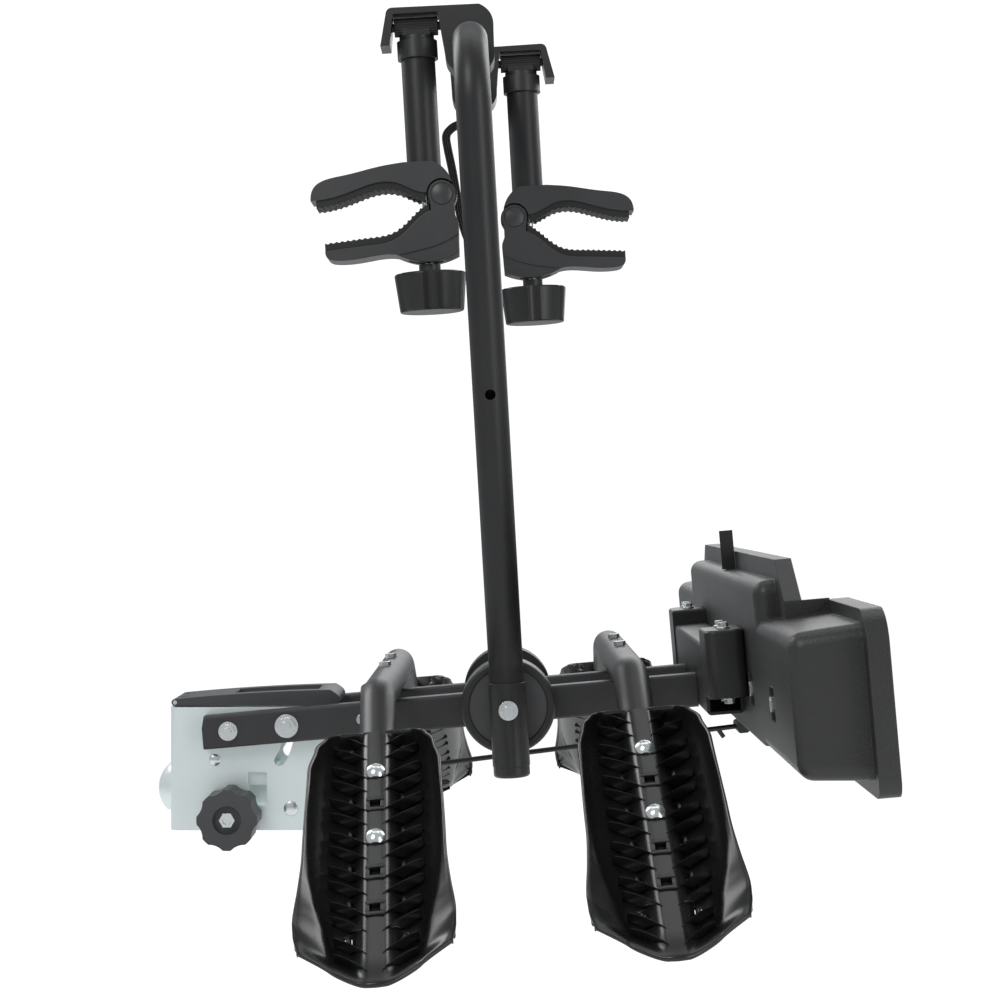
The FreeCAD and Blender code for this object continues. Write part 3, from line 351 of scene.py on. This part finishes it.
def build_trays(sizes):
    for name, u in ARM_U.items():
        for end, side in (("near", -1), ("far", 1)):
            node = "tray_%s_%s" % (name, end)
            place = tray_matrix(u, side)
            shell = add_piece(node + "_pan", tray_shell(sizes), place, "platform", "tray_plastic",
                              [node])
            up = (place.to_3x3() @ Vector((0, 0, 1))).normalized()
            if sum((p.normal.dot(up) for p in shell.data.polygons)) < 0:
                shell.data.flip_normals()
            thick = shell.modifiers.new("wall", "SOLIDIFY")
            thick.thickness = sizes.tray_wall
            thick.offset = -1.0
            soft = shell.modifiers.new("round", "SUBSURF")
            soft.levels = soft.render_levels = 1
            ribs = bmesh.new()
            add_tray_ribs(ribs)
            add_hole_bosses(ribs)
            add_piece(node + "_ribs", ribs, place, "platform", "tray_plastic")


# ---- lamps ---------------------------------------------------------------------------------
def lens_block(low, high, flutes):
    """A lens with rounded edges and rows of upright flutes on its rear face."""
    bm = bmesh.new()
    bevelled_box(bm, low, high, 4.0, 4)
    step = (high[1] - low[1] - 12) / flutes
    for i in range(flutes):
        y = low[1] + 6 + step * (i + 0.5)
        made = bmesh.ops.create_cone(bm, cap_ends=True, cap_tris=False, segments=16,
                                     radius1=step * 0.46, radius2=step * 0.46,
                                     depth=high[2] - low[2] - 12)
        bmesh.ops.translate(bm, vec=(high[0] - step * 0.2, y, (low[2] + high[2]) / 2),
                            verts=made["verts"])
    return bm


def build_lamps(sizes):
    """Rear lamps in three lenses each: tail and stop, turn and reversing."""
    parts = (("stop", 305, 395, "lamp_red", 12), ("turn", 396, 448, "lamp_amber", 6),
             ("reverse", 449, 494, "lamp_clear", 5))
    for end, side in (("near", -1), ("far", 1)):
        for name, y0, y1, slot_name, flutes in parts:
            low_y, high_y = (y0, y1) if side > 0 else (-y1, -y0)
            bm = lens_block((LENS_U0, low_y, LENS_W0), (LENS_U1, high_y, LENS_W1), flutes)
            stands_for = ["lamp_units"] if name == "stop" and side < 0 else ()
            piece = add_piece("lamp_%s_%s" % (name, end), bm, platform_matrix(), "platform",
                              "lamp_red", stands_for)
            piece.data.materials[0] = FINISHES[slot_name]


# ---- rubber loop on the top bar --------------------------------------------------------------
def loop_path(inset_by):
    """The loop's outline from the bar's axis, drawn in by a depth."""
    outer = [(-2, -17.5), (-19, -19), (-29, -24), (-35.5, -33), (-35, -47), (-31.5, -70),
             (-28.5, -95), (-25, -122), (-18, -147), (-6, -158), (6, -148), (12, -125), (15.5, -95),
             (17, -60), (15.5, -32), (8, -20)]
    middle = Vector((sum(x for x, z in outer), sum(z for x, z in outer))) / len(outer)
    points = []
    for i, here in enumerate(outer):
        before, after = Vector(outer[i - 1]), Vector(outer[(i + 1) % len(outer)])
        way = (after - before).normalized()
        n = Vector((way.y, -way.x))
        if n.dot(middle - Vector(here)) < 0:
            n = -n
        points.append(Vector(here) + n * inset_by)
    return points


def build_loop(sizes):
    """Ribs one inside the other, hung from a ring on the bar, as one rubber loop."""
    bm = bmesh.new()
    rib_r, half = sizes.loop_rib / MM, LOOP_WIDTH / 2
    for i in range(LOOP_RIBS):
        path = loop_path(rib_r * (1 + 2 * i))
        count = len(path) * 6
        ring = bmesh.ops.create_circle(bm, cap_ends=False, segments=10, radius=1.0)
        profile = [v.co.copy() for v in ring["verts"]]
        bmesh.ops.delete(bm, geom=ring["verts"], context="VERTS")
        made = bmesh.ops.create_grid(bm, x_segments=count, y_segments=len(profile), size=1.0)
        for vert in made["verts"]:
            a = round((vert.co.x + 1) / 2 * count) % count
            b = round((vert.co.y + 1) / 2 * len(profile)) % len(profile)
            centre, out = smooth_point(path, a / count)
            p = profile[b]
            spot = centre + out * (p.x * rib_r * 1.06)
            vert.co = Vector((spot.x, sizes.loop_y / MM + p.y * half * 0.9, BAR_Z + spot.y))
    bmesh.ops.remove_doubles(bm, verts=bm.verts, dist=0.001)
    made = bmesh.ops.create_circle(bm, cap_ends=False, segments=48, radius=BAR_R + 0.3)
    bmesh.ops.rotate(bm, verts=made["verts"], matrix=Matrix.Rotation(math.pi / 2, 3, "X"))
    bmesh.ops.translate(bm, verts=made["verts"], vec=(0, sizes.loop_y / MM - half, BAR_Z))
    edges = list({e for v in made["verts"] for e in v.link_edges})
    band = list(edges)
    for vec, grow in (((0, 0, 0), LOOP_RING), ((0, 2 * half, 0), 0), ((0, 0, 0), -LOOP_RING)):
        done = bmesh.ops.extrude_edge_only(bm, edges=edges)
        verts = [g for g in done["geom"] if isinstance(g, bmesh.types.BMVert)]
        edges = [g for g in done["geom"] if isinstance(g, bmesh.types.BMEdge)]
        bmesh.ops.translate(bm, vec=vec, verts=verts)
        for v in verts:
            out = Vector((v.co.x, 0, v.co.z - BAR_Z)).normalized()
            v.co += out * grow
    bmesh.ops.bridge_loops(bm, edges=band + edges)
    bmesh.ops.recalc_face_normals(bm, faces=bm.faces)
    add_piece("keeper_loop_ribs", bm, hoop_matrix(), "hoop", "pad_rubber", ["keeper_loop"])


def smooth_point(path, f):
    """Point on the closed smooth curve through the path, and its outward direction."""
    n = len(path)
    i = int(f * n)
    x = f * n - i
    p0, p1, p2, p3 = (path[(i + k) % n] for k in (-1, 0, 1, 2))
    spot = 0.5 * (2 * p1 + (p2 - p0) * x + (2 * p0 - 5 * p1 + 4 * p2 - p3) * x * x
                  + (3 * p1 - p0 - 3 * p2 + p3) * x ** 3)
    way = 0.5 * ((p2 - p0) + 2 * (2 * p0 - 5 * p1 + 4 * p2 - p3) * x
                 + 3 * (3 * p1 - p0 - 3 * p2 + p3) * x * x)
    way.normalize()
    return spot, Vector((way.y, -way.x))


# ---- carried-over CAD nodes ------------------------------------------------------------------
def dress_nodes():
    """Give each CAD piece its slot's finish, smooth faces and crisp edges."""
    slots = {s["node"]: s["material_slot"] for s in frame["record"]["subparts"]}
    for name, node in frame["nodes"].items():
        node.data.materials.clear()
        node.data.materials.append(FINISHES[slots[name]])
        for face in node.data.polygons:
            face.use_smooth = True
        weld = node.modifiers.new("weld", "WELD")
        weld.merge_threshold = 1e-5
        split = node.modifiers.new("sharp", "EDGE_SPLIT")
        split.split_angle = SHARP


# ---- settings ------------------------------------------------------------------------------
def colour(name, what, value):
    return FloatVectorProperty(name=name, description=what, subtype="COLOR", size=3, min=0, max=1,
                               default=value)


def length(name, what, value):
    return FloatProperty(name=name, description=what, subtype="DISTANCE", unit="LENGTH", min=0,
                         default=value)


class CarrierColours(bpy.types.PropertyGroup):
    powder: colour("Powder coat", "Black powder coat of the tubes", (0.012, 0.012, 0.0125))
    beam: colour("Beam paint", "Charcoal paint of the two beams", (0.030, 0.030, 0.031))
    zinc: colour("Zinc plate", "Zinc plating of the coupler", (0.83, 0.91, 0.90))
    bolts: colour("Bolts", "Bright zinc of the fasteners", (0.80, 0.83, 0.83))
    tray: colour("Trays", "Black plastic of the wheel trays", (0.010, 0.010, 0.010))
    board: colour("Lamp board", "Grained plastic of the lamp board", (0.026, 0.026, 0.026))
    jaw: colour("Jaws", "Dark grey plastic of the jaws", (0.045, 0.045, 0.046))
    grip: colour("Knobs and lever", "Grey plastic of knob, lever and hub discs",
                 (0.060, 0.060, 0.061))
    moulded: colour("Black plastic", "Black plastic of brackets and caps", (0.020, 0.020, 0.020))
    rubber: colour("Rubber", "Rubber of the pads and the loop", (0.012, 0.012, 0.012))


class CarrierSizes(bpy.types.PropertyGroup):
    tray_wall: length("Tray wall", "Thickness of the tray's plastic", 0.0026)
    wall_height: length("Tray side", "Height of the tray's sides over the arm's axis", 0.031)
    loop_rib: length("Loop rib", "Half thickness of one rib of the rubber loop", 0.00112)
    loop_y: length("Loop place", "Where the rubber loop hangs along the top bar", 0.141)
    floor_drop: length("Floor", "Depth of the floor below the tow ball", 0.42)


class PrepareFinishes(bpy.types.Operator):
    """Make the finishes that all pieces share"""
    bl_idname = "carrier.finishes"
    bl_label = "Finishes"

    def execute(self, context):
        c = context.scene.carrier_colours
        FINISHES.update({
            "black_powder": finish("black powder coat", c.powder, 0.40, grain=0.10, grain_size=2200,
                                   round_edges=0.0006),
            "beam_paint": finish("charcoal powder coat", c.beam, 0.48, grain=0.10, grain_size=2200,
                                 round_edges=0.0009),
            "zinc_plate": finish("zinc plate", c.zinc, 0.34, metal=0.45, grain=0.05, grain_size=500,
                                 spread=0.03, round_edges=0.0007),
            "zinc_bolts": finish("bright zinc", c.bolts, 0.22, metal=0.9, grain=0.03,
                                 grain_size=900, spread=0.04, round_edges=0.0005),
            "tray_plastic": finish("tray plastic", c.tray, 0.27, grain=0.04, grain_size=1500),
            "grained_plastic": finish("grained plastic", c.board, 0.42, grain=0.55, grain_size=620,
                                      cells=True, round_edges=0.0015),
            "jaw_plastic": finish("jaw plastic", c.jaw, 0.36, grain=0.10, grain_size=1600,
                                  round_edges=0.0010),
            "grey_plastic": finish("grey plastic", c.grip, 0.50, grain=0.12, grain_size=1600,
                                   round_edges=0.0010),
            "black_plastic": finish("black plastic", c.moulded, 0.36, grain=0.08, grain_size=1600,
                                    round_edges=0.0010),
            "pad_rubber": finish("pad rubber", c.rubber, 0.62, grain=0.25, grain_size=1200),
            "lamp_red": lens_finish("red lens", (0.42, 0.01, 0.01)),
            "lamp_amber": lens_finish("amber lens", (0.75, 0.22, 0.01)),
            "lamp_clear": lens_finish("clear lens", (0.75, 0.76, 0.78)),
        })
        dress_nodes()
        return {"FINISHED"}


class AddTrays(bpy.types.Operator):
    """Make the four scoop-shaped wheel trays with their ribs"""
    bl_idname = "carrier.trays"
    bl_label = "Wheel trays"

    def execute(self, context):
        build_trays(context.scene.carrier_sizes)
        return {"FINISHED"}


class AddLamps(bpy.types.Operator):
    """Make the lenses of the two rear lamps"""
    bl_idname = "carrier.lamps"
    bl_label = "Rear lamps"

    def execute(self, context):
        build_lamps(context.scene.carrier_sizes)
        return {"FINISHED"}


class AddLoop(bpy.types.Operator):
    """Make the ribbed rubber loop that hangs from the hoop's top bar"""
    bl_idname = "carrier.loop"
    bl_label = "Rubber loop"

    def execute(self, context):
        build_loop(context.scene.carrier_sizes)
        return {"FINISHED"}


# ---- stage ---------------------------------------------------------------------------------
def soft_light(name, place, aim, size, power):
    lamp = bpy.data.lights.new(name, "AREA")
    lamp.shape = "RECTANGLE"
    lamp.size, lamp.size_y = size
    lamp.energy = power
    lamp_object = bpy.data.objects.new(name, lamp)
    lamp_object.location = place
    lamp_object.rotation_euler = (Vector(aim) - Vector(place)).to_track_quat("-Z", "Y").to_euler()
    bpy.context.scene.collection.objects.link(lamp_object)


def studio_world():
    """White to the eye, and a softer grey sky for lighting the carrier."""
    world = bpy.data.worlds.new("studio")
    bpy.context.scene.world = world
    world.use_nodes = True
    nodes, links = world.node_tree.nodes, world.node_tree.links
    seen = nodes["Background"]
    seen.inputs["Color"].default_value = (1, 1, 1, 1)
    seen.inputs["Strength"].default_value = 1.1
    lit = nodes.new("ShaderNodeBackground")
    lit.inputs["Color"].default_value = (0.93, 0.96, 1.0, 1)
    lit.inputs["Strength"].default_value = 0.42
    path = nodes.new("ShaderNodeLightPath")
    mix = nodes.new("ShaderNodeMixShader")
    links.new(path.outputs["Is Camera Ray"], mix.inputs["Fac"])
    links.new(lit.outputs["Background"], mix.inputs[1])
    links.new(seen.outputs["Background"], mix.inputs[2])
    links.new(mix.outputs["Shader"], nodes["World Output"].inputs["Surface"])


def pale_floor(drop):
    bm = bmesh.new()
    bmesh.ops.create_grid(bm, x_segments=2, y_segments=2, size=30.0)
    bmesh.ops.translate(bm, vec=(0, 0, -drop), verts=bm.verts)
    mesh = bpy.data.meshes.new("floor")
    bm.to_mesh(mesh)
    bm.free()
    floor = bpy.data.objects.new("floor", mesh)
    bpy.context.scene.collection.objects.link(floor)
    mat = bpy.data.materials.new("pale floor")
    mat.use_nodes = True
    nodes, links = mat.node_tree.nodes, mat.node_tree.links
    shader = nodes["Principled BSDF"]
    shader.inputs["Base Color"].default_value = (0.9, 0.9, 0.9, 1)
    shader.inputs["Roughness"].default_value = 0.9
    glow = nodes.new("ShaderNodeEmission")
    glow.inputs["Strength"].default_value = 1.15
    path = nodes.new("ShaderNodeLightPath")
    share = nodes.new("ShaderNodeMath")
    share.operation = "MULTIPLY"
    share.inputs[1].default_value = 0.85
    mix = nodes.new("ShaderNodeMixShader")
    links.new(path.outputs["Is Camera Ray"], share.inputs[0])
    links.new(share.outputs["Value"], mix.inputs["Fac"])
    links.new(shader.outputs["BSDF"], mix.inputs[1])
    links.new(glow.outputs["Emission"], mix.inputs[2])
    links.new(mix.outputs["Shader"], nodes["Material Output"].inputs["Surface"])
    floor.data.materials.append(mat)


class AddStage(bpy.types.Operator):
    """Set up the camera, the pale floor and the soft studio light"""
    bl_idname = "carrier.stage"
    bl_label = "Stage"

    def execute(self, context):
        data = bpy.data.cameras.new("camera")
        data.lens, data.sensor_width = 76.75, 36.0
        data.clip_end = 200.0
        camera = bpy.data.objects.new("camera", data)
        camera.location = (0.3044, -2.1, 0.2825)
        camera.rotation_euler = (math.radians(90), 0, 0)
        context.scene.collection.objects.link(camera)
        context.scene.camera = camera
        context.scene.view_settings.view_transform = "Standard"
        pale_floor(context.scene.carrier_sizes.floor_drop)
        studio_world()
        middle = (0.3, 0, 0.3)
        soft_light("key", (-0.9, -2.3, 1.9), middle, (1.0, 1.4), 24)
        soft_light("fill", (1.9, -1.9, 0.6), middle, (0.8, 1.8), 12)
        soft_light("top", (0.3, 0.2, 2.4), middle, (2.2, 1.2), 9)
        for name, x in (("high left", -1.6), ("high right", 2.2)):
            soft_light(name, (x, 1.4, 1.9), middle, (1.3, 1.3), 26)
        soft_light("back", (0.9, 2.3, 1.2), middle, (2.0, 1.4), 14)
        return {"FINISHED"}


class CarrierPanel(bpy.types.Panel):
    """Lists the carrier's steps and settings"""
    bl_idname = "VIEW3D_PT_carrier"
    bl_label = "Bike carrier"
    bl_space_type = "VIEW_3D"
    bl_region_type = "UI"
    bl_category = "Carrier"

    def draw(self, context):
        for step in STEPS:
            self.layout.operator(step.bl_idname)
        for group in (context.scene.carrier_sizes, context.scene.carrier_colours):
            for key in group.bl_rna.properties.keys():
                if key not in ("rna_type", "name"):
                    self.layout.prop(group, key)


STEPS = (AddStage, PrepareFinishes, AddTrays, AddLamps, AddLoop)
CLASSES = (CarrierColours, CarrierSizes) + STEPS + (CarrierPanel,)


def register():
    for cls in CLASSES:
        bpy.utils.register_class(cls)
    bpy.types.Scene.carrier_colours = PointerProperty(type=CarrierColours)
    bpy.types.Scene.carrier_sizes = PointerProperty(type=CarrierSizes)


def unregister():
    del bpy.types.Scene.carrier_sizes
    del bpy.types.Scene.carrier_colours
    for cls in reversed(CLASSES):
        bpy.utils.unregister_class(cls)


def main():
    register()
    bpy.ops.carrier.stage()
    bpy.ops.carrier.finishes()
    bpy.ops.carrier.trays()
    bpy.ops.carrier.lamps()
    bpy.ops.carrier.loop()


if __name__ == "__main__":
    main()
